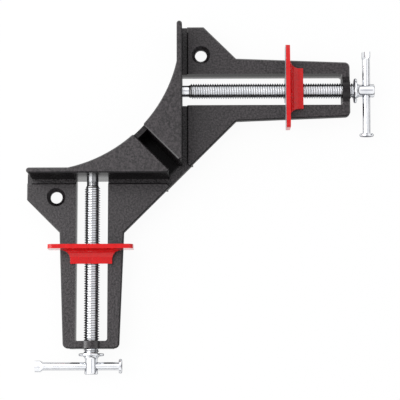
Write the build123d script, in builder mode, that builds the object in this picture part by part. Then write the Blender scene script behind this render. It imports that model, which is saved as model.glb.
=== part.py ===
from build123d import *
import math
import os

# Corner clamp: a cored casting with two fences, and a screw-driven jaw on each arm.
# Lengths are millimetres. The underside is z = 0 and the right arm runs along +X.

# Plan of the casting, measured from the corner where the two fence faces cross
wing_reach = 80.0
wing_end_width = 11.0
arm_reach = 87.0
arm_root_width = 33.0
arm_end_width = 28.5
arm_corner_radius = 2.6
axis_offset = 46.6
outer_edge_lead = 2.2

# Heights and walls of the casting
plate_top = 11.0
plate_thickness = 4.0
groove_width = 2.4
groove_depth = 2.2
rib_thickness = 3.0
outer_rib_inset = 2.2
edge_break = 0.6
land_nose_width = 1.8
land_nose_start = 7.9
land_nose_radius = 1.2

# Raised fences and the hollow blocks behind them
fence_height = 30.5
fence_length = 78.3
fence_thickness = 2.7
block_wall = 2.6
block_skin = 3.0
block_tip = 6.7
block_corner_radius = 1.0
arc_centre = 72.8
arc_radius = 71.8
gap_width = 7.0
web_drop = 4.0

# Slot, end boss and screw holes
slot_width = 16.5
slot_corner_radius = 1.2
end_wall = 3.8
boss_diameter = 12.6
screw_hole_diameter = 6.2
screw_head_diameter = 9.6
screw_hole_from_fence = 9.6
screw_hole_from_corner = 65.0

# Spindles
spindle_height = 6.6
thread_diameter = 8.0
thread_start = 3.3
thread_past_boss = 2.5
tip_diameter = 6.0
tip_past_clip = 1.2
collar_diameter = 12.8
collar_thickness = 1.2
head_diameter = 6.8
head_length = 9.3
head_flare = 1.4
head_rim = 0.6
running_gap = 0.1

# Clip and washer that hold each spindle behind its fence
washer_diameter = 11.6
washer_thickness = 0.8
clip_diameter = 10.0
clip_thickness = 0.7
clip_groove_depth = 0.6
clip_opening = 3.6
clip_recess_radius = 1.0
clip_recess_angle = 30.0
pocket_width = 14.4
pocket_height = 14.0

# Sliding bars
bar_diameter = 4.0
bar_length = 44.3
bar_from_collar = 5.2
bar_disc_diameter = 7.3
bar_disc_thickness = 1.5
bar_disc_edge = 0.4
bar_tail_length = 4.2
bar_tail_blend = 1.4
bar_tail_width = 5.8
bar_tail_thickness = 2.4

# Jaws
jaw_width = 43.4
jaw_top = 21.0
jaw_thickness = 2.2
jaw_corner_radius = 2.4
jaw_depth = 9.3
jaw_ride_gap = 0.3
saddle_top = 13.0
saddle_width = 21.3
saddle_root_width = 31.3
saddle_fillet = 4.4
hub_diameter = 12.6
hub_depth = 7.6
nut_diameter = 10.0
nut_length = 6.6

# How far each jaw stands open, and how far each bar's disc end stands out
right_opening = 53.3
front_opening = 34.9
right_bar_reach = 24.0
front_bar_reach = 15.6
right_lean_angle = 5.0
front_lean_angle = 0.0
right_roll_angle = 50.0
front_roll_angle = 0.0

# Places that follow from the sizes above
groove_floor = plate_top - groove_depth
collar_start = arm_reach + thread_past_boss
bar_place = collar_start + collar_thickness + bar_from_collar
spindle_reach = collar_start + collar_thickness + head_length
corner_x = (wing_reach - spindle_reach) / 2
corner_y = -corner_x
gap_lead = gap_width / 2 * math.sqrt(2)

corner_plane = Plane(origin=(corner_x, corner_y, 0))
diagonal = Plane(origin=(0, 0, 0), z_dir=(1, 1, 0))
right_arm = Plane(
    origin=(corner_x, corner_y + axis_offset, spindle_height),
    x_dir=(1, 0, 0),
    z_dir=(0, 0, 1),
)
front_arm = Plane(
    origin=(corner_x - axis_offset, corner_y, spindle_height),
    x_dir=(0, -1, 0),
    z_dir=(0, 0, 1),
)

os.makedirs("parts", exist_ok=True)


def across(arm, distance):
    """Plane square to an arm, facing outward, with x to the arm's left and y up."""
    return Plane(origin=arm.origin + arm.x_dir * distance, x_dir=arm.y_dir, z_dir=arm.x_dir)


def along(arm, distance):
    """Upright plane through an arm's axis, with x outward and y up."""
    return Plane(origin=arm.origin + arm.x_dir * distance, x_dir=arm.x_dir, z_dir=-arm.y_dir)


def save(piece, name):
    piece.part.label = name
    export_step(piece.part, f"parts/{name}.step")


# Casting, drawn as its right half and mirrored across the diagonal in each sketch
with BuildPart() as casting:
    root_low = axis_offset - arm_root_width / 2
    root_high = axis_offset + arm_root_width / 2
    chamfer_end = wing_end_width + wing_reach - root_high

    # Raised lands of the wings and the arms
    with BuildSketch(corner_plane.offset(plate_top - plate_thickness)):
        with BuildLine():
            Polyline(
                (groove_width, land_nose_start),
                (groove_width + land_nose_width, groove_width + land_nose_width + outer_edge_lead),
                (root_low - outer_edge_lead, root_low),
                (arm_reach, axis_offset - arm_end_width / 2),
                (arm_reach, axis_offset + arm_end_width / 2),
                (chamfer_end, root_high),
                (wing_end_width, wing_reach),
                (groove_width, wing_reach),
                close=True,
            )
        make_face()
        fillet(vertices().group_by(Axis.X)[-1], arm_corner_radius)
        fillet(vertices().sort_by(Axis.Y)[:2], land_nose_radius)
        mirror(about=diagonal)
    extrude(amount=plate_thickness)
    chamfer(faces().group_by(Axis.Z)[-1].edges(), edge_break)

    # Lower floor: the grooves beside the fences, the corner and the diagonal gap
    foot_width = groove_width + rib_thickness
    with BuildSketch(corner_plane.offset(groove_floor - plate_thickness)):
        with BuildLine():
            Polyline(
                (-outer_edge_lead / 2, outer_edge_lead / 2),
                (foot_width, foot_width + outer_edge_lead),
                (foot_width, wing_reach),
                (0, wing_reach),
                (0, block_tip),
                (gap_lead - block_tip, block_tip),
                (gap_lead - arc_centre, arc_centre),
                (-arc_centre, arc_centre),
                close=True,
            )
        make_face()
        mirror(about=diagonal)
        with Locations((-arc_centre, arc_centre)):
            Circle(arc_radius, mode=Mode.SUBTRACT)
    extrude(amount=plate_thickness)

    # Feet of the fences, and the ribs each side of the slots
    with BuildSketch(corner_plane):
        with Locations((-fence_thickness, foot_width + outer_edge_lead)):
            Rectangle(
                foot_width + fence_thickness,
                wing_reach - foot_width - outer_edge_lead,
                align=Align.MIN,
            )
        mirror(about=diagonal)
    extrude(amount=groove_floor)
    with BuildSketch(corner_plane):
        with Locations((groove_width, axis_offset)):
            Rectangle(
                arm_reach - groove_width,
                slot_width + 2 * rib_thickness,
                align=(Align.MIN, Align.CENTER),
            )
        mirror(about=diagonal)
    extrude(amount=plate_top - edge_break)

    # Rib under the outer diagonal edge
    rib_lead = outer_edge_lead + outer_rib_inset * math.sqrt(2)
    rib_back_lead = rib_lead + rib_thickness * math.sqrt(2)
    rib_end = axis_offset - slot_width / 2 - rib_thickness / 2
    with BuildSketch(corner_plane):
        with BuildLine():
            Polyline(
                (-rib_lead / 2, rib_lead / 2),
                (rib_end - rib_lead, rib_end),
                (rib_end - rib_back_lead, rib_end),
                (-rib_back_lead / 2, rib_back_lead / 2),
                close=True,
            )
        make_face()
        mirror(about=diagonal)
    extrude(amount=(groove_floor + plate_top - plate_thickness) / 2)

    # Round bosses for the spindles at the arms' ends
    for arm in (right_arm, front_arm):
        with BuildSketch(across(arm, arm_reach - end_wall)):
            Circle(boss_diameter / 2)
        extrude(amount=end_wall)

    # Slots, with the end walls left standing
    slot_length = arm_reach - end_wall
    with BuildSketch(corner_plane):
        with Locations((0, axis_offset)):
            Rectangle(slot_length, slot_width, align=(Align.MIN, Align.CENTER))
        fillet(vertices().group_by(Axis.X)[-1], slot_corner_radius)
        mirror(about=diagonal)
    extrude(amount=plate_top, mode=Mode.SUBTRACT)

    # Fences and the blocks behind them
    with BuildSketch(corner_plane):
        with BuildLine():
            Polyline(
                (0, block_tip),
                (0, arc_centre),
                (gap_lead - arc_centre, arc_centre),
                (gap_lead - block_tip, block_tip),
                close=True,
            )
        make_face()
        with Locations((-arc_centre, arc_centre)):
            Circle(arc_radius, mode=Mode.SUBTRACT)
        fillet(vertices().sort_by(Axis.X)[0], block_corner_radius)
        fillet(vertices().group_by(Axis.Y)[0], block_corner_radius)
        with Locations((-fence_thickness, block_tip + fence_thickness)):
            Rectangle(
                fence_thickness,
                fence_length - block_tip - 1.5 * fence_thickness,
                align=Align.MIN,
            )
        with Locations((-fence_thickness / 2, fence_length - fence_thickness / 2)):
            Circle(fence_thickness / 2)
        mirror(about=diagonal)
    extrude(amount=fence_height)

    # Hollows under the blocks, open below
    wall_lead = gap_lead + block_wall * math.sqrt(2)
    with BuildSketch(corner_plane):
        with BuildLine():
            Polyline(
                (-fence_thickness, wall_lead + fence_thickness),
                (-fence_thickness, arc_centre),
                (wall_lead - arc_centre, arc_centre),
                close=True,
            )
        make_face()
        with Locations((-arc_centre, arc_centre)):
            Circle(arc_radius + block_wall, mode=Mode.SUBTRACT)
        mirror(about=diagonal)
    extrude(amount=fence_height - block_skin, mode=Mode.SUBTRACT)

    chamfer(faces().group_by(Axis.Z)[-1].edges(), edge_break)

    # Web that closes the outer end of the diagonal gap
    web_lead = gap_lead + block_wall / 2
    with BuildSketch(corner_plane):
        with Locations((-arc_centre, arc_centre)):
            Circle(arc_radius + block_wall)
            Circle(arc_radius, mode=Mode.SUBTRACT)
        with BuildLine():
            Polyline(
                (0, -web_lead),
                (0, web_lead),
                (-arc_centre, arc_centre + web_lead),
                (-arc_centre, arc_centre - web_lead),
                close=True,
            )
        make_face(mode=Mode.INTERSECT)
    extrude(amount=fence_height - web_drop)

    # Pockets for the clips, and the bores for the spindles
    pocket_depth = axis_offset - block_tip
    for arm in (right_arm, front_arm):
        with BuildSketch(across(arm, -fence_thickness)):
            with Locations((0, -spindle_height)):
                Rectangle(pocket_width, pocket_height, align=(Align.CENTER, Align.MIN))
        extrude(amount=-pocket_depth, mode=Mode.SUBTRACT)
        with BuildSketch(across(arm, -fence_thickness)):
            Circle(tip_diameter / 2 + running_gap)
        extrude(amount=fence_thickness, mode=Mode.SUBTRACT)
        with BuildSketch(across(arm, arm_reach - end_wall)):
            Circle(thread_diameter / 2 + running_gap)
        extrude(amount=end_wall, mode=Mode.SUBTRACT)

    # Countersunk screw holes in the wings
    with Locations(
        (corner_x + screw_hole_from_fence, corner_y + screw_hole_from_corner, plate_top),
        (corner_x - screw_hole_from_corner, corner_y - screw_hole_from_fence, plate_top),
    ):
        CounterSinkHole(screw_hole_diameter / 2, screw_head_diameter / 2, plate_thickness)
save(casting, "casting")


# The same set of moving pieces on each arm
for side, arm, opening, bar_reach, lean_angle, roll_angle, disc_side in (
    ("right", right_arm, right_opening, right_bar_reach, right_lean_angle, right_roll_angle, -1),
    ("front", front_arm, front_opening, front_bar_reach, front_lean_angle, front_roll_angle, 1),
):
    spindle_axis = Axis(arm.origin, arm.x_dir)
    bar_direction = (arm.y_dir * disc_side).rotate(spindle_axis, lean_angle)
    bar_axis = Axis(arm.origin, bar_direction)
    bar_flat = arm.x_dir.cross(bar_direction).rotate(bar_axis, roll_angle)
    bar_centre = arm.origin + arm.x_dir * bar_place
    clip_face = -(fence_thickness + running_gap + washer_thickness)
    groove_end = clip_face - clip_thickness

    # Spindle, turned from one bar
    with BuildPart() as spindle:
        with BuildSketch(along(arm, 0)):
            with BuildLine():
                Polyline(
                    (groove_end - tip_past_clip, 0),
                    (groove_end - tip_past_clip, tip_diameter / 2),
                    (groove_end, tip_diameter / 2),
                    (groove_end, tip_diameter / 2 - clip_groove_depth),
                    (clip_face, tip_diameter / 2 - clip_groove_depth),
                    (clip_face, tip_diameter / 2),
                    (thread_start, tip_diameter / 2),
                    (thread_start, thread_diameter / 2),
                    (collar_start, thread_diameter / 2),
                    (collar_start, collar_diameter / 2),
                    (collar_start + collar_thickness, collar_diameter / 2),
                    (collar_start + collar_thickness, head_diameter / 2),
                    (spindle_reach, head_diameter / 2),
                    (spindle_reach, 0),
                    close=True,
                )
            make_face()
            neck = (collar_start + collar_thickness, head_diameter / 2)
            chamfer(vertices().sort_by_distance(neck)[0], head_flare)
            rim = (spindle_reach, head_diameter / 2)
            chamfer(vertices().sort_by_distance(rim)[0], head_rim)
        revolve(axis=spindle_axis)
        with BuildSketch(Plane(origin=bar_centre, x_dir=arm.x_dir, z_dir=bar_direction)):
            Circle(bar_diameter / 2 + running_gap)
        extrude(amount=head_diameter, both=True, mode=Mode.SUBTRACT)
    save(spindle, f"{side}_spindle")

    # Washer against the back of the fence
    with BuildPart() as washer:
        with BuildSketch(across(arm, clip_face)):
            Circle(washer_diameter / 2)
            Circle(tip_diameter / 2 + running_gap, mode=Mode.SUBTRACT)
        extrude(amount=washer_thickness)
    save(washer, f"{side}_thrust_washer")

    # Open clip snapped into the tip's groove
    with BuildPart() as clip:
        with BuildSketch(across(arm, groove_end)):
            Circle(clip_diameter / 2)
            Circle(tip_diameter / 2 - clip_groove_depth, mode=Mode.SUBTRACT)
            Rectangle(clip_opening, clip_diameter / 2, align=(Align.CENTER, Align.MAX), mode=Mode.SUBTRACT)
            with PolarLocations(tip_diameter / 2, 2, start_angle=clip_recess_angle, angular_range=240):
                Circle(clip_recess_radius, mode=Mode.SUBTRACT)
        extrude(amount=clip_thickness)
    save(clip, f"{side}_retaining_clip")

    # Sliding bar: a disc head, a plain rod and a pinched tail
    with BuildPart() as bar:
        disc_plane = Plane(
            origin=bar_centre + bar_direction * bar_reach,
            x_dir=bar_flat,
            z_dir=-bar_direction,
        )
        tail_start = bar_length - bar_tail_length
        pad_start = tail_start + bar_tail_blend
        with BuildSketch(disc_plane):
            Circle(bar_disc_diameter / 2)
        extrude(amount=bar_disc_thickness)
        chamfer(edges().filter_by(GeomType.CIRCLE), bar_disc_edge)
        with BuildSketch(disc_plane):
            Circle(bar_diameter / 2)
        extrude(amount=tail_start)
        with BuildSketch(disc_plane.offset(tail_start)):
            Circle(bar_diameter / 2)
        with BuildSketch(disc_plane.offset(pad_start)):
            Ellipse(bar_tail_thickness / 2, bar_tail_width / 2)
        loft(ruled=True)
        with BuildSketch(disc_plane.offset(pad_start)):
            Ellipse(bar_tail_thickness / 2, bar_tail_width / 2)
        extrude(amount=bar_length - pad_start)
    save(bar, f"{side}_tommy_bar")

    # Jaw: an upright face plate, a saddle that rides on the arm and a hub in the slot
    plate_foot = plate_top + jaw_ride_gap - spindle_height
    with BuildPart() as jaw:
        with BuildSketch(along(arm, opening)):
            with BuildLine():
                step = jaw_thickness + saddle_fillet
                Polyline(
                    (0, saddle_top - spindle_height + saddle_fillet),
                    (0, plate_foot),
                    (jaw_depth, plate_foot),
                    (jaw_depth, saddle_top - spindle_height),
                    (step, saddle_top - spindle_height),
                )
                RadiusArc(
                    (step, saddle_top - spindle_height),
                    (jaw_thickness, saddle_top - spindle_height + saddle_fillet),
                    saddle_fillet,
                )
                Line(
                    (jaw_thickness, saddle_top - spindle_height + saddle_fillet),
                    (0, saddle_top - spindle_height + saddle_fillet),
                )
            make_face()
        extrude(amount=saddle_root_width / 2, both=True)
        flare = (saddle_root_width - saddle_width) / 2
        with BuildSketch(Plane(origin=arm.origin + arm.x_dir * opening, x_dir=arm.x_dir)):
            Rectangle(jaw_thickness + flare, saddle_root_width, align=(Align.MIN, Align.CENTER))
            Rectangle(jaw_depth, saddle_width, align=(Align.MIN, Align.CENTER))
            with Locations(
                (jaw_thickness + flare, saddle_root_width / 2),
                (jaw_thickness + flare, -saddle_root_width / 2),
            ):
                Circle(flare, mode=Mode.SUBTRACT)
        extrude(amount=jaw_top, mode=Mode.INTERSECT)
        with BuildSketch(across(arm, opening)):
            with Locations((0, plate_foot)):
                Rectangle(jaw_width, jaw_top - plate_top - jaw_ride_gap, align=(Align.CENTER, Align.MIN))
            fillet(vertices().group_by(Axis.Y)[-1], jaw_corner_radius)
        extrude(amount=jaw_thickness)
        with BuildSketch(across(arm, opening)):
            Circle(hub_diameter / 2)
            Rectangle(hub_diameter, plate_foot, align=(Align.CENTER, Align.MIN))
        extrude(amount=hub_depth)
        with BuildSketch(across(arm, opening)):
            Circle(nut_diameter / 2)
        extrude(amount=nut_length, mode=Mode.SUBTRACT)
        with BuildSketch(across(arm, opening)):
            Circle(thread_diameter / 2 + running_gap)
        extrude(amount=hub_depth, mode=Mode.SUBTRACT)
    save(jaw, f"{side}_jaw")

    # Threaded bush pressed into the jaw's hub
    with BuildPart() as nut:
        with BuildSketch(across(arm, opening)):
            Circle(nut_diameter / 2)
            Circle(thread_diameter / 2 + running_gap, mode=Mode.SUBTRACT)
        extrude(amount=nut_length)
    save(nut, f"{side}_jaw_nut")
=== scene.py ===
import bmesh
import bpy
import math
from mathutils import Matrix, Vector


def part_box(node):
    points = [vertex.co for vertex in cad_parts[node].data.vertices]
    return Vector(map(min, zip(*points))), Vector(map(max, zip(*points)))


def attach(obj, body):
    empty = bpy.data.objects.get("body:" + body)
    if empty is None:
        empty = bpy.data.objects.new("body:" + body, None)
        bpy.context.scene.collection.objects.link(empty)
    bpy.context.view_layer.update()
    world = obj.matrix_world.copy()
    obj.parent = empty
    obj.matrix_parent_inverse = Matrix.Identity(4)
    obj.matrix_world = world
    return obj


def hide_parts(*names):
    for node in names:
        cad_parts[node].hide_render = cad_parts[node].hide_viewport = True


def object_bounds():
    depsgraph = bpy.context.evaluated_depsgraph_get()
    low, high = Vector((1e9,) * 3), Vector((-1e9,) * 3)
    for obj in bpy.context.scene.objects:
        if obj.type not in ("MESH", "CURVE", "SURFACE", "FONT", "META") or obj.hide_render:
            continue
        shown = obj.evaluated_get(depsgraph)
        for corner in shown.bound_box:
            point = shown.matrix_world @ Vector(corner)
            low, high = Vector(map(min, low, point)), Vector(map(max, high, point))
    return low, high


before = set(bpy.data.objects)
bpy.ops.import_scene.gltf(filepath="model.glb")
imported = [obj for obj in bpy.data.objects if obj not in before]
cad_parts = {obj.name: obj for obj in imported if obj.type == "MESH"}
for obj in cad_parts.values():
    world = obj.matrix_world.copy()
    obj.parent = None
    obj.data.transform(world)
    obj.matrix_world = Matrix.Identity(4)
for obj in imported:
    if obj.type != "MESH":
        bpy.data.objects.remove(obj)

bpy.context.view_layer.update()
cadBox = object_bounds()
print("corner clamp: frame loaded with", len(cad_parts), "nodes")

mm = 0.001

# outward is along an arm, away from the corner, and left is across it
arms = {
    "right": {"outward": Vector((1, 0, 0)), "left": Vector((0, 1, 0))},
    "front": {"outward": Vector((0, -1, 0)), "left": Vector((1, 0, 0))},
}


# the middle of a spindle's inner end, in metres
def spindleTip(side):
    low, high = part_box(side + "_spindle")
    middle = (low + high) / 2
    outward = arms[side]["outward"]
    return middle - outward * abs((high - low).dot(outward)) / 2


# a socket that can stand in a sum, such as 1 - mask * 0.5
class Wire:
    def __init__(self, bench, socket):
        self.bench = bench
        self.socket = socket

    def __add__(self, other):
        return self.bench.math("ADD", self, other)

    def __radd__(self, other):
        return self.bench.math("ADD", other, self)

    def __sub__(self, other):
        return self.bench.math("SUBTRACT", self, other)

    def __rsub__(self, other):
        return self.bench.math("SUBTRACT", other, self)

    def __mul__(self, other):
        return self.bench.math("MULTIPLY", self, other)

    def __rmul__(self, other):
        return self.bench.math("MULTIPLY", other, self)

    def __gt__(self, other):
        return self.bench.math("GREATER_THAN", self, other)

    def __lt__(self, other):
        return self.bench.math("LESS_THAN", self, other)


# a share of the first and the rest of the second, which may be wires or numbers
def blend(share, first, second):
    return first * share + second * (1 - share)


# a bench for making one node tree, of a new material or of the world handed in
class Bench:
    def __init__(self, name, world=None):
        self.home = world or bpy.data.materials.new(name)
        self.endKind = "OutputWorld" if world else "OutputMaterial"
        self.home.use_nodes = True
        self.tree = self.home.node_tree
        self.tree.nodes.clear()

    # any node: its type, its settings, then the values or links of its sockets
    def node(self, kind, settings=None, sockets=None, out=0):
        made = self.tree.nodes.new("ShaderNode" + kind)
        for key, value in (settings or {}).items():
            setattr(made, key, value)
        for key, value in (sockets or {}).items():
            if isinstance(value, Wire):
                self.tree.links.new(value.socket, made.inputs[key])
            else:
                made.inputs[key].default_value = value
        return None if out is None else Wire(self, made.outputs[out])

    def math(self, operation, first, second=0.0, clamp=False):
        settings = {"operation": operation, "use_clamp": clamp}
        return self.node("Math", settings, {0: first, 1: second})

    def size(self, value):
        return self.math("ABSOLUTE", value)

    def larger(self, first, second):
        return self.math("MAXIMUM", first, second)

    # from 0 at the low end of a range to 1 at its high end
    def smooth(self, value, low, high):
        return self.node(
            "MapRange",
            {"interpolation_type": "SMOOTHSTEP"},
            {"Value": value, "From Min": low, "From Max": high},
        )

    def mixColour(self, factor, first, second):
        # the colour sockets of a Mix node are its 7th and 8th, and its colour output is the 3rd
        return self.node("Mix", {"data_type": "RGBA"}, {0: factor, 6: first, 7: second}, out=2)

    def mixShader(self, factor, first, second):
        return self.node("MixShader", None, {0: factor, 1: first, 2: second})

    def noise(self, where, scale, detail=2.0, roughness=0.5):
        return self.node(
            "TexNoise",
            None,
            {"Vector": where, "Scale": scale, "Detail": detail, "Roughness": roughness},
        )

    def stretch(self, where, scale):
        return self.node("Mapping", None, {"Vector": where, "Scale": scale})

    def bump(self, height, distance, strength=1.0):
        sockets = {"Height": height, "Distance": distance, "Strength": strength}
        return self.node("Bump", None, sockets)

    def dot(self, vector, other):
        settings = {"operation": "DOT_PRODUCT"}
        return self.node("VectorMath", settings, {0: vector, 1: other}, out="Value")

    def minus(self, vector, other):
        return self.node("VectorMath", {"operation": "SUBTRACT"}, {0: vector, 1: other})

    # one coordinate of a vector, "X", "Y" or "Z"
    def part(self, vector, letter):
        return self.node("SeparateXYZ", None, {0: vector}, out=letter)

    def place(self):
        return self.node("TexCoord", out="Object")

    def direction(self):
        return self.node("TexCoord", out="Normal")

    def shader(self, sockets):
        return self.node("BsdfPrincipled", None, sockets)

    def finish(self, shader):
        self.node(self.endKind, None, {"Surface": shader}, out=None)
        return self.home


def colour(red, green, blue):
    return (red, green, blue, 1.0)


# lengths in metres; a pair is the range over which a mask goes from 0 to 1
powderLook = {
    "dark": colour(0.003, 0.0024, 0.0027),
    "light": colour(0.052, 0.0440, 0.0477),
    "bareMetalAndPaintedShade": colour(0.004, 0.0035, 0.0038),  # painted shade: the dark colour laid where shade falls on the walls, bosses and gap
    "cloudScale": 60.0,
    "lumpScale": 1000.0,  # one lump about every millimetre
    "grainScale": 2200.0,
    "lumpsInMottle": 0.66,
    "mottle": (0.39, 0.62),
    "mottleInTone": 0.80,
    "smoothTone": 0.45,  # what is left of the tone where the coat is smooth
    "lumpsInRelief": 0.7,
    "smoothRelief": 0.08,
    "lumpHeight": 0.00022,
    "roughFlat": 0.30,
    "roughSpan": 0.12,
    "roughWall": 0.20,
    "paintedShadeRough": 0.5,
    "paintedShadeRoughSpan": 0.2,
    # how far a surface looks up on the tops and on the slopes above the walls
    "top": (0.90, 0.985),
    "slope": (0.30, 0.60),
    "workWay": (0.7071, -0.7071, 0.0),  # from the corner out over the work
    "toWork": (-0.05, 0.25),
    "outerShare": 0.80,  # of the texture, on the outer walls
    "grooveShare": 0.55,  # of the texture, on the grooves' floors; the lower share also darkens them as painted shade by the fence
    "landAbove": 0.0094,  # those floors lie below this height
    "wallPaintedShade": 0.70,  # how much painted shade darkens the walls towards the work
    # heights over which the foot of a slot's walls ends, in the slot and behind the fence's face
    "foot": (0.002, 0.006),
    "footBehind": (0.010, 0.026),
    "litShare": 0.75,  # how much of the painted shade that foot loses, where light from the floor reaches it
    "slotHalf": 0.0086,
    "fenceFace": -0.0098,
    # the bosses at the arms' ends, darkened with painted shade, far more on the right arm
    "bossHalf": 0.0066,
    "bossFrom": 0.0725,
    "bossPaintedShade": {"right": 0.6, "front": 0.1},
    # the diagonal gap between the blocks, darkened with painted shade, less on its lands
    "gapWay": (-0.7071, 0.7071, 0.0),  # along the diagonal gap, towards the round wall
    "gapAcross": (0.7071, 0.7071, 0.0),
    "gapInward": (0.0190, 0.0210),
    "gapHalf": 0.0036,
    "gapTop": 0.028,
    "gapPaintedShade": 0.85,
    "gapLandPaintedShade": 0.40,
}


# powder coat: textured on the flat tops and outer walls, weaker in the grooves, which darkens
# them as painted shade, glossy on the edges; painted shade as a dark, dull coat on the walls
# towards the work, lifted at the foot of the slots, on the bosses at the arms' ends and darkest
# in the diagonal gap
def powderCoat():
    b = Bench("blackPowderCoat")
    look = powderLook
    where = b.place()
    height = b.part(where, "Z")
    direction = b.direction()
    upright = b.part(direction, "Z")
    level = b.smooth(upright, *look["top"])
    wall = 1 - b.smooth(b.size(upright), *look["slope"])
    toWork = b.smooth(b.dot(direction, look["workWay"]), *look["toWork"])
    land = height > look["landAbove"]
    offGap = b.size(b.dot(where, look["gapAcross"]))
    inward = b.smooth(b.dot(where, look["gapWay"]), *look["gapInward"])
    gapShade = look["gapPaintedShade"] - land * (look["gapPaintedShade"] - look["gapLandPaintedShade"])
    # painted shade in the diagonal gap, which also takes the texture and tone off its floor
    gap = (offGap < look["gapHalf"]) * (height < look["gapTop"]) * inward * gapShade
    # the grooves' floors get less texture and a darker tone: painted shade along the fence's
    # foot
    flat = level * blend(look["grooveShare"], 1.0, land) * (1 - gap)

    lit = []
    boss = []
    for side, arm in arms.items():
        along = b.dot(where, arm["outward"])
        offAxis = b.size(b.dot(where, arm["left"]) - spindleTip(side).dot(arm["left"]))
        behind = along < look["fenceFace"]
        ends = zip(look["foot"], look["footBehind"])
        low, high = (inSlot + behind * (inWall - inSlot) for inSlot, inWall in ends)
        foot = 1 - b.smooth(height, low, high)
        # the foot of a slot's walls keeps the lighter coat: painted light from the floor
        lit.append((offAxis < look["slotHalf"]) * foot * look["litShare"])
        # painted shade on the boss at the arm's end
        atEnd = (offAxis < look["bossHalf"]) * (along > look["bossFrom"])
        boss.append(atEnd * look["bossPaintedShade"][side])
    rough = flat + wall * (1 - toWork) * look["outerShare"]
    # painted shade: a dark, dull coat on the walls towards the work, the bosses and the diagonal
    # gap
    bareMetalAndPaintedShade = wall * toWork * look["wallPaintedShade"] * (1 - b.larger(*lit))
    bareMetalAndPaintedShade = b.larger(b.larger(bareMetalAndPaintedShade, boss[0] + boss[1]), gap)

    cloud = b.noise(where, look["cloudScale"], detail=3.0)
    lump = b.noise(where, look["lumpScale"], roughness=0.6)
    grain = b.noise(where, look["grainScale"], roughness=0.7)
    mottle = b.smooth(blend(look["lumpsInMottle"], lump, grain), *look["mottle"])
    tone = blend(look["mottleInTone"], mottle, cloud) * blend(look["smoothTone"], 1.0, rough)
    relief = blend(look["lumpsInRelief"], lump, grain) * blend(look["smoothRelief"], 1.0, rough)
    textured = look["roughFlat"] + look["roughSpan"] * mottle - look["roughWall"]
    coat = b.shader({
        "Base Color": b.mixColour(tone, look["dark"], look["light"]),
        "Roughness": look["roughWall"] + textured * rough,
        "Specular IOR Level": 0.45,
        "Coat Weight": (1 - level) * (1 - wall),
        "Coat Roughness": 0.15,
        "Normal": b.bump(relief, look["lumpHeight"]),
    })
    # the dark, dull coat that paints the shade
    paintedShadeCoat = b.shader({
        "Base Color": b.mixColour(cloud, look["dark"], look["bareMetalAndPaintedShade"]),
        "Roughness": look["paintedShadeRough"] + cloud * look["paintedShadeRoughSpan"],
        "Specular IOR Level": 0.02,
    })
    return b.finish(b.mixShader(bareMetalAndPaintedShade, coat, paintedShadeCoat))


enamelLook = {
    "deep": colour(0.46, 0.003, 0.004),
    "bright": colour(0.68, 0.006, 0.007),
    "metal": colour(0.56, 0.57, 0.59),
    "metalDark": colour(0.40, 0.41, 0.43),
    "faceDepth": 0.00006,  # metres behind the working face that count as ground bare
    "faceSquare": 0.9,  # and how squarely the surface has to face the work
    "metalShare": 0.75,
    "dustScale": 6000.0,
    "rippleScale": 420.0,
    "lineScale": 900.0,
    "lineStretch": (1.0, 1.0, 14.0),
    "relief": 0.00006,  # metres, and the heights are shares of it
    "rippleHeight": 3.0,
    "lineHeight": 0.2,
    "rough": 0.10,
    "dustRough": 0.05,
    "groundRough": 0.28,
    "lineRough": 0.14,
    "coat": 0.50,
}


# red enamel with the working face ground bare after painting
def jawEnamel(side):
    b = Bench(side + "JawEnamel")
    look = enamelLook
    where = b.place()
    low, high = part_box(side + "_jaw")
    outward = arms[side]["outward"]
    axis = "X" if side == "right" else "Y"
    faceAt = low.x if side == "right" else high.y
    sign = outward.x + outward.y
    depth = (b.part(where, axis) - faceAt) * sign
    square = b.part(b.direction(), axis) * -sign
    bareMetalAndPaintedShade = (depth < look["faceDepth"]) * (square > look["faceSquare"])
    ripple = b.noise(where, look["rippleScale"])
    dust = b.noise(where, look["dustScale"], roughness=0.7)
    paint = b.mixColour(ripple, look["deep"], look["bright"])
    stretched = b.stretch(where, look["lineStretch"])
    lines = b.noise(stretched, look["lineScale"], detail=3.0, roughness=0.6)
    metal = b.mixColour(lines, look["metalDark"], look["metal"])
    groundRough = look["groundRough"] + lines * look["lineRough"]
    relief = ripple * (1 - bareMetalAndPaintedShade) * look["rippleHeight"] + lines * bareMetalAndPaintedShade * look["lineHeight"]
    return b.finish(b.shader({
        "Base Color": b.mixColour(bareMetalAndPaintedShade, paint, metal),
        "Metallic": bareMetalAndPaintedShade * look["metalShare"],
        "Roughness": look["rough"] + dust * look["dustRough"] + bareMetalAndPaintedShade * groundRough,
        "Coat Weight": (1 - bareMetalAndPaintedShade) * look["coat"],
        "Coat Roughness": 0.05,
        "Specular IOR Level": 0.2,
        "Normal": b.bump(relief, look["relief"], strength=0.7),
    }))


zincLook = {
    "pale": colour(0.94, 0.95, 0.97),
    "dull": colour(0.80, 0.82, 0.85),
    "root": colour(0.30, 0.29, 0.28),
    "edge": colour(0.10, 0.10, 0.12),
    "cloudScale": 160.0,
    "grainScale": 2600.0,
    "cloudsInTone": 0.7,
    "tone": (0.3, 0.65),
    "grainHeight": 0.000001,
    "rough": 0.10,
    "barRough": 0.16,
    "roughSpan": 0.06,
    "rootFrom": 3.26,  # mm from the axis
    "rootTo": 3.44,
    "rootShade": 0.9,
    "rootRough": 0.25,
}


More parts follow.
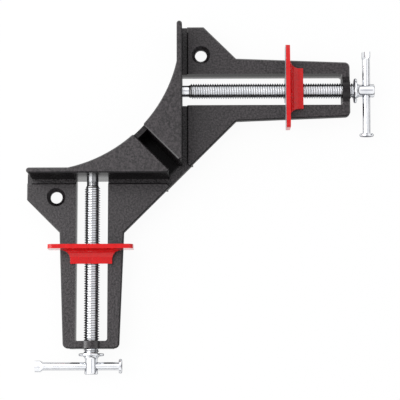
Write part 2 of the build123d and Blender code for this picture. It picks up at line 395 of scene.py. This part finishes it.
# on a spindle, painted shade darkens the roots of the thread, where the crests shade them
def zincPlate(side=None):
    b = Bench("brightZinc" + (side or "Bar").capitalize())
    look = zincLook
    where = b.place()
    cloud = b.noise(where, look["cloudScale"], detail=3.0, roughness=0.6)
    grain = b.noise(where, look["grainScale"], roughness=0.6)
    tone = b.smooth(blend(look["cloudsInTone"], cloud, grain), *look["tone"])
    base = b.mixColour(tone, look["dull"], look["pale"])
    rough = look["rough" if side else "barRough"] + look["roughSpan"] * grain
    if side:
        away = b.minus(where, spindleTip(side))
        across = b.dot(away, arms[side]["left"])
        above = b.part(away, "Z")
        along = b.dot(away, arms[side]["outward"])
        radius = b.math("SQRT", across * across + above * above)
        crest = b.smooth(radius, look["rootFrom"] * mm, look["rootTo"] * mm)
        threaded = (along > spindle["threadFrom"] * mm) * (along < spindle["threadTo"] * mm)
        root = (1 - crest) * threaded
        # painted shade in the thread's roots
        base = b.mixColour(root * look["rootShade"], base, look["root"])
        rough = rough + root * look["rootRough"]
    return b.finish(b.shader({
        "Base Color": base,
        "Metallic": 1.0,
        # a dark edge tint darkens the zinc towards its outlines: painted shade
        "Specular Tint": look["edge"],
        "Roughness": rough,
        "Normal": b.bump(grain, look["grainHeight"], strength=0.5),
    }))


steelLook = {
    "pale": colour(0.60, 0.60, 0.61),
    "dull": colour(0.42, 0.42, 0.43),
    "ringScale": 700.0,
    "ringStretch": (6.0, 6.0, 1.0),
    "ringHeight": 0.000008,
    "cloudScale": 300.0,
    "ringsInTone": 0.6,
    "tone": (0.3, 0.7),
    "rough": 0.28,
    "ringRough": 0.2,
}


def turnedSteel(name):
    b = Bench(name)
    look = steelLook
    where = b.place()
    stretched = b.stretch(where, look["ringStretch"])
    rings = b.noise(stretched, look["ringScale"], detail=3.0, roughness=0.6)
    cloud = b.noise(where, look["cloudScale"])
    tone = b.smooth(blend(look["ringsInTone"], rings, cloud), *look["tone"])
    return b.finish(b.shader({
        "Base Color": b.mixColour(tone, look["dull"], look["pale"]),
        "Metallic": 1.0,
        "Roughness": look["rough"] + rings * look["ringRough"],
        "Normal": b.bump(rings, look["ringHeight"], strength=0.5),
    }))


black = powderCoat()
bushSteel = turnedSteel("turnedBush")
springSteel = turnedSteel("springClip")
red = {side: jawEnamel(side) for side in arms}
barZinc = zincPlate()
print("materials made")


# rows of points round an axis, closed at both ends; place(row, angle) gives how far along and
# how far out a point is, in mm. In a helix, given as its first row, its last row and its rows
# to a turn, each row joins the one that lies a turn further on
def latheMesh(name, tip, outward, left, rows, segments, place, helix=(0, 0, 0)):
    points = []
    for row in rows:
        for step in range(segments):
            angle = 2 * math.pi * step / segments
            spoke = left * math.cos(angle) + outward.cross(left) * math.sin(angle)
            along, radius = place(row, angle)
            points.append(tip + (outward * along + spoke * radius) * mm)
    faces = []
    first, last, perTurn = helix
    for row in range(len(rows) - 1):
        for step in range(segments):
            near, far = row, row + 1
            following = (step + 1) % segments
            if following == 0 and first <= row < last:
                near, far = min(near + perTurn, last), min(far + perTurn, last)
            faces.append((
                row * segments + step, near * segments + following,
                far * segments + following, (row + 1) * segments + step,
            ))
    faces.append(tuple(range(segments - 1, -1, -1)))
    top = (len(rows) - 1) * segments
    faces.append(tuple(range(top, top + segments)))
    mesh = bpy.data.meshes.new(name)
    mesh.from_pydata(points, [], faces)
    # the ends of a helix fold onto one ring, which leaves points to join
    shape = bmesh.new()
    shape.from_mesh(mesh)
    bmesh.ops.remove_doubles(shape, verts=shape.verts, dist=1e-7)
    shape.to_mesh(mesh)
    shape.free()
    mesh.validate()
    return mesh


# a hole drilled through a mesh along a direction, by a boolean whose result is kept
def drilled(mesh, centre, direction, radius, halfLength, segments=40):
    body = bpy.data.objects.new("drillBody", mesh)
    side = direction.orthogonal().normalized()
    start = centre - direction * halfLength * mm
    bit = latheMesh(
        "drillBit", start, direction, side,
        [0.0, 2 * halfLength], segments, lambda along, angle: (along, radius),
    )
    cutter = bpy.data.objects.new("drillCutter", bit)
    for thing in (body, cutter):
        bpy.context.scene.collection.objects.link(thing)
    cut = body.modifiers.new("hole", "BOOLEAN")
    cut.operation = "DIFFERENCE"
    cut.solver = "EXACT"
    cut.object = cutter
    bpy.context.view_layer.update()
    graph = bpy.context.evaluated_depsgraph_get()
    done = bpy.data.meshes.new_from_object(body.evaluated_get(graph))
    for thing in (body, cutter):
        bpy.data.objects.remove(thing)
    return done


def addPiece(name, mesh, material, body, sharpAngle=35.0):
    mesh.shade_smooth()
    mesh.set_sharp_from_angle(angle=math.radians(sharpAngle))
    mesh.materials.clear()
    mesh.materials.append(material)
    piece = bpy.data.objects.new(name, mesh)
    bpy.context.scene.collection.objects.link(piece)
    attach(piece, body)
    return piece


# lengths in mm, places measured from a spindle's inner end
spindle = {
    "tipRadius": 3.0,
    "tipBreak": 0.35,
    "grooveFrom": 1.2,
    "grooveTo": 1.9,
    "grooveRadius": 2.4,
    "threadFrom": 8.8,
    "threadTo": 95.0,
    "threadRadius": 3.98,
    "threadDepth": 0.74,
    "runOut": 0.3,  # how far under its crests the thread ends at the collar
    "pitch": 1.25,
    # one turn of the thread: share of the pitch, and depth from 0 on the crest to 1 at the root
    "profile": [
        (0, 0), (0.07, 0.08), (0.33, 0.92), (0.40, 1),
        (0.56, 1), (0.63, 0.92), (0.89, 0.08), (0.96, 0),
    ],
    "leadIn": 1.3,
    "segments": 48,
    "collarTo": 96.2,
    "collarRadius": 6.4,
    "collarBreak": 0.3,
    # a broken edge's points, as shares of its break along the axis and inward
    "collarEdge": [(0, 1), (0.4, 0.3), (1, 0)],
    "collarDish": 0.25,
    "flareTo": 98.2,
    "flareRadius": 4.7,
    "flareFoot": 0.5,
    "flareSteps": 8,
    "flarePower": 2.2,
    "waistRadius": 3.12,
    "headRadius": 3.4,
    "headTo": 105.5,
    "headBreak": 0.5,
    "headEdge": [(1, 0), (0.35, 0.3), (0, 1)],
    "headSteps": (0.25, 0.5, 0.75, 0.9),
    "headPower": 1.5,
    "barAt": 101.4,
    "holeRadius": 2.1,
    "holeHalf": 9.0,
    # how the bar's hole leans, in degrees, and which way the drill goes
    "barLean": {"right": 5.0, "front": 0.0},
    "barWay": {"right": -1.0, "front": 1.0},
}


# a number stands for a row of the thread, and a pair for a plain ring
def spindlePlace(row, angle):
    if isinstance(row, tuple):
        return row
    s = spindle
    turns, number = divmod(row, len(s["profile"]))
    share, depth = s["profile"][number]
    along = s["threadFrom"] + (turns + share + angle / (2 * math.pi)) * s["pitch"]
    if along >= s["threadTo"]:
        return s["threadTo"], s["threadRadius"] - s["runOut"]
    run = max(along - s["threadFrom"], 0.0)
    leadIn = s["tipRadius"] + (s["threadRadius"] - s["tipRadius"]) * run / s["leadIn"]
    return s["threadFrom"] + run, min(leadIn, s["threadRadius"] - s["threadDepth"] * depth)


def spindleRows():
    s = spindle
    tip = s["tipRadius"]
    rows = [
        (0.0, tip - s["tipBreak"]), (s["tipBreak"], tip),
        (s["grooveFrom"], tip), (s["grooveFrom"], s["grooveRadius"]),
        (s["grooveTo"], s["grooveRadius"]), (s["grooveTo"], tip),
    ]
    perTurn = len(s["profile"])
    turns = math.ceil((s["threadTo"] - s["threadFrom"]) / s["pitch"])
    helix = (len(rows), len(rows) + (turns + 1) * perTurn, perTurn)
    rows += range(-perTurn, turns * perTurn + 1)

    collar, rim = s["collarRadius"], s["collarBreak"]
    for along, inward in s["collarEdge"]:
        rows.append((s["threadTo"] + rim * along, collar - rim * inward))
    for along, inward in reversed(s["collarEdge"]):
        rows.append((s["collarTo"] - rim * along, collar - rim * inward))
    rows.append((s["collarTo"] - s["collarDish"], s["flareRadius"] + s["flareFoot"]))

    # the head flares out of the collar, narrows to a waist and spreads again at its rim
    waist = s["waistRadius"]
    reach = s["flareTo"] - s["collarTo"] + s["collarDish"]
    for number in range(s["flareSteps"] + 1):
        along = number / s["flareSteps"]
        curve = (1 - along) ** s["flarePower"]
        position = s["collarTo"] - s["collarDish"] + reach * along
        rows.append((position, waist + (s["flareRadius"] - waist) * curve))
    for along in s["headSteps"]:
        position = s["flareTo"] + (s["headTo"] - s["headBreak"] - s["flareTo"]) * along
        rows.append((position, waist + (s["headRadius"] - waist) * along ** s["headPower"]))
    rim = s["headBreak"]
    for along, inward in s["headEdge"]:
        rows.append((s["headTo"] - rim * along, s["headRadius"] - rim * inward))
    return rows, helix


for side, arm in arms.items():
    outward, left = arm["outward"], arm["left"]
    tip = spindleTip(side)
    rows, helix = spindleRows()
    rod = latheMesh(
        side + "SpindleMesh", tip, outward, left,
        rows, spindle["segments"], spindlePlace, helix,
    )
    lean = math.radians(spindle["barLean"][side])
    barWay = Matrix.Rotation(lean, 3, outward) @ (left * spindle["barWay"][side])
    holeCentre = tip + outward * spindle["barAt"] * mm
    rod = drilled(rod, holeCentre, barWay, spindle["holeRadius"], spindle["holeHalf"])
    piece = addPiece(side + "Spindle", rod, zincPlate(side), side + "_screw_set")
    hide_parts(side + "_spindle")
print("spindles made")


# the CAD nodes that stay get their finish, and the jaws a small round on their edges
jawRound = {"width": 0.5 * mm, "segments": 3, "weld": 0.002 * mm, "angle": 50}


def roundedEdges(node):
    weld = node.modifiers.new("weld", "WELD")
    weld.merge_threshold = jawRound["weld"]
    bevel = node.modifiers.new("edges", "BEVEL")
    bevel.width = jawRound["width"]
    bevel.segments = jawRound["segments"]
    bevel.limit_method = "ANGLE"
    bevel.angle_limit = math.radians(jawRound["angle"])
    even = node.modifiers.new("even", "WEIGHTED_NORMAL")
    even.keep_sharp = False


def finishNode(name, material):
    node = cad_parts[name]
    for slotPlace in node.material_slots:
        slotPlace.material = material
    return node


finishNode("casting", black)
for side in arms:
    roundedEdges(finishNode(side + "_jaw", red[side]))
    finishNode(side + "_tommy_bar", barZinc)
    finishNode(side + "_thrust_washer", barZinc)
    finishNode(side + "_retaining_clip", springSteel)
    finishNode(side + "_jaw_nut", bushSteel)
print("CAD nodes finished")


floorLook = {
    "size": 3.0,
    "below": 0.05 * mm,  # under the clamp, so that no two faces share a plane
    "paper": (colour(0.79, 0.79, 0.79), colour(0.81, 0.81, 0.81)),
    "paperScale": 6.0,
    "own": 0.94,  # how much of its colour is its own, seen straight or in metal
}


def floorPaint():
    b = Bench("paleFloor")
    faint = b.noise(b.place(), floorLook["paperScale"])
    lit = b.node("BsdfDiffuse", None, {"Color": b.mixColour(faint, *floorLook["paper"])})
    glow = b.node("Emission", None, {"Color": colour(1.0, 1.0, 1.0), "Strength": 1.0})
    rays = ("Is Camera Ray", "Is Glossy Ray", "Is Transmission Ray")
    camera, glossy, through = (b.node("LightPath", out=ray) for ray in rays)
    seen = b.math("ADD", camera + glossy, through, clamp=True)
    return b.finish(b.mixShader(seen * floorLook["own"], lit, glow))


floorMesh = bpy.data.meshes.new("floor")
half = floorLook["size"] / 2
corners = [(-half, -half, 0), (half, -half, 0), (half, half, 0), (-half, half, 0)]
floorMesh.from_pydata(corners, [], [(0, 1, 2, 3)])
floorMesh.materials.append(floorPaint())
floor = bpy.data.objects.new("floor", floorMesh)
floor.location.z = cadBox[0].z - floorLook["below"]
bpy.context.scene.collection.objects.link(floor)

# place and size in metres, power in watts; each one looks at the middle of the clamp
softboxes = {
    "leftBox": {"place": (-0.40, 0.05, 0.43), "size": (0.36, 0.60), "power": 1.68},
    "rightBox": {"place": (0.66, 0.10, 0.80), "size": (0.40, 0.80), "power": 0.05},
    "backBox": {"place": (-0.10, 0.66, 0.72), "size": (1.00, 0.48), "power": 0.2},
    "edgeBox": {"place": (-0.55, -0.55, 0.10), "size": (0.36, 0.18), "power": 0.35},
}

for name, box in softboxes.items():
    lamp = bpy.data.lights.new(name, "AREA")
    lamp.shape = "RECTANGLE"
    lamp.size, lamp.size_y = box["size"]
    lamp.energy = box["power"]
    holder = bpy.data.objects.new(name, lamp)
    holder.location = box["place"]
    holder.rotation_euler = (-Vector(box["place"])).to_track_quat("-Z", "Y").to_euler()
    bpy.context.scene.collection.objects.link(holder)

# the room is pale overhead and greyer low down, most of all on the right, and the camera and
# its stand make a faint darker spot in the middle
roomLook = {
    "zenith": colour(0.62, 0.62, 0.65),
    "overLeft": colour(1.22, 1.22, 1.23),
    "overRight": colour(0.98, 0.98, 0.99),
    "lowLeft": colour(0.20, 0.20, 0.21),
    "lowRight": colour(0.14, 0.14, 0.15),
    "leftWay": (-0.95, 0.30, 0.0),
    "toLeft": (-0.40, 0.40),
    "lean": 0.16,  # how much further down the pale part reaches on the left
    "low": (0.12, 0.44),
    "spot": (0.958, 0.978),
}


def paintRoom():
    b = Bench("studio", bpy.context.scene.world)
    look = roomLook
    way = b.node("TexCoord", out="Generated")
    height = b.part(way, "Z")
    aside = b.dot(way, look["leftWay"])
    toLeft = b.smooth(aside, *look["toLeft"])
    over = b.mixColour(toLeft, look["overRight"], look["overLeft"])
    low = b.mixColour(toLeft, look["lowRight"], look["lowLeft"])
    air = b.mixColour(b.smooth(height + aside * look["lean"], *look["low"]), low, over)
    air = b.mixColour(b.smooth(height, *look["spot"]), air, look["zenith"])
    b.finish(b.node("Background", None, {"Color": air, "Strength": 1.0}))


bpy.context.scene.world = bpy.data.worlds.new("studio")
paintRoom()

cameraLook = {
    "place": (0.00057, -0.10266, 0.72195),
    "turn": (8.1096, 0.1556, -0.1608),  # degrees
    "lens": 125.85,
    "sensor": 36.0,
    "nearest": 0.01,
}
cameraData = bpy.data.cameras.new("camera")
cameraData.lens = cameraLook["lens"]
cameraData.sensor_width = cameraLook["sensor"]
cameraData.clip_start = cameraLook["nearest"]
camera = bpy.data.objects.new("camera", cameraData)
camera.location = cameraLook["place"]
camera.rotation_euler = [math.radians(angle) for angle in cameraLook["turn"]]
bpy.context.scene.collection.objects.link(camera)
bpy.context.scene.camera = camera
bpy.context.scene.view_settings.view_transform = "Standard"
print("floor, lamps and camera placed")

bpy.context.view_layer.update()
